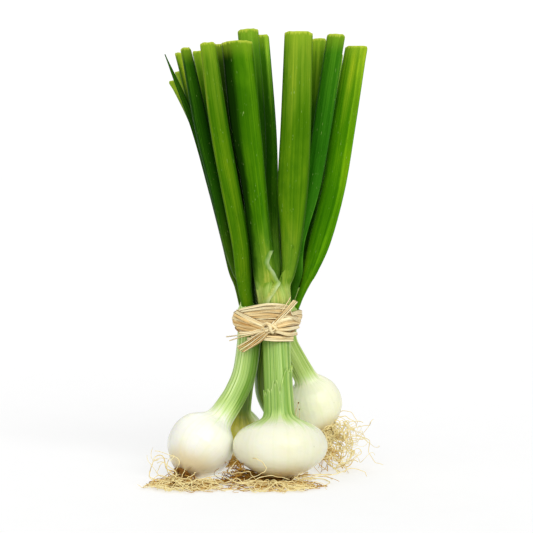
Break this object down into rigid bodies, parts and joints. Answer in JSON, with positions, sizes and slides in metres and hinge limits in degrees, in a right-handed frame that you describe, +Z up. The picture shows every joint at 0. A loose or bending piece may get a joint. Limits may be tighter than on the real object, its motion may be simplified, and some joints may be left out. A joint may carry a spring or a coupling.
{
  "type": "spring onion bunch",
  "caption": "Bunch of white bulb spring onions standing on their bulbs and roots, tied round the necks with raffia, with green hollow leaves cut off level at the top.",
  "frame": {"origin": "on the surface that the bunch stands on, under the middle of its bounding box", "axes": "+Z up along the leaves, -Y towards the front onion and the knot, +X to the right seen from the front"},
  "size_m": [0.1266, 0.1192, 0.2485],
  "materials": {
    "bulb": "satin",
    "roots": "matte",
    "leaf": "satin",
    "raffia": "matte"
  },
  "bodies": {
    "root": {"front_bulb": "bulb", "left_bulb": "bulb", "right_bulb": "bulb", "back_left_bulb": "bulb", "back_bulb": "bulb", "front_roots": "roots", "left_roots": "roots", "right_roots": "roots", "back_left_roots": "roots", "back_roots": "roots", "front_leaf_wide_left": "leaf", "front_leaf_wide_right": "leaf", "front_leaf_narrow": "leaf", "left_leaf_front": "leaf", "left_leaf_outer": "leaf", "left_leaf_inner": "leaf", "left_leaf_pointed": "leaf", "back_left_leaf_inner": "leaf", "back_left_leaf_middle": "leaf", "back_left_leaf_outer": "leaf", "back_left_leaf_rear": "leaf", "back_leaf_left": "leaf", "back_leaf_middle": "leaf", "back_leaf_right": "leaf", "right_leaf_inner": "leaf", "right_leaf_rear": "leaf", "right_leaf_outer": "leaf", "right_leaf_back": "leaf", "raffia_tie": "raffia"}
  },
  "joints": []
}
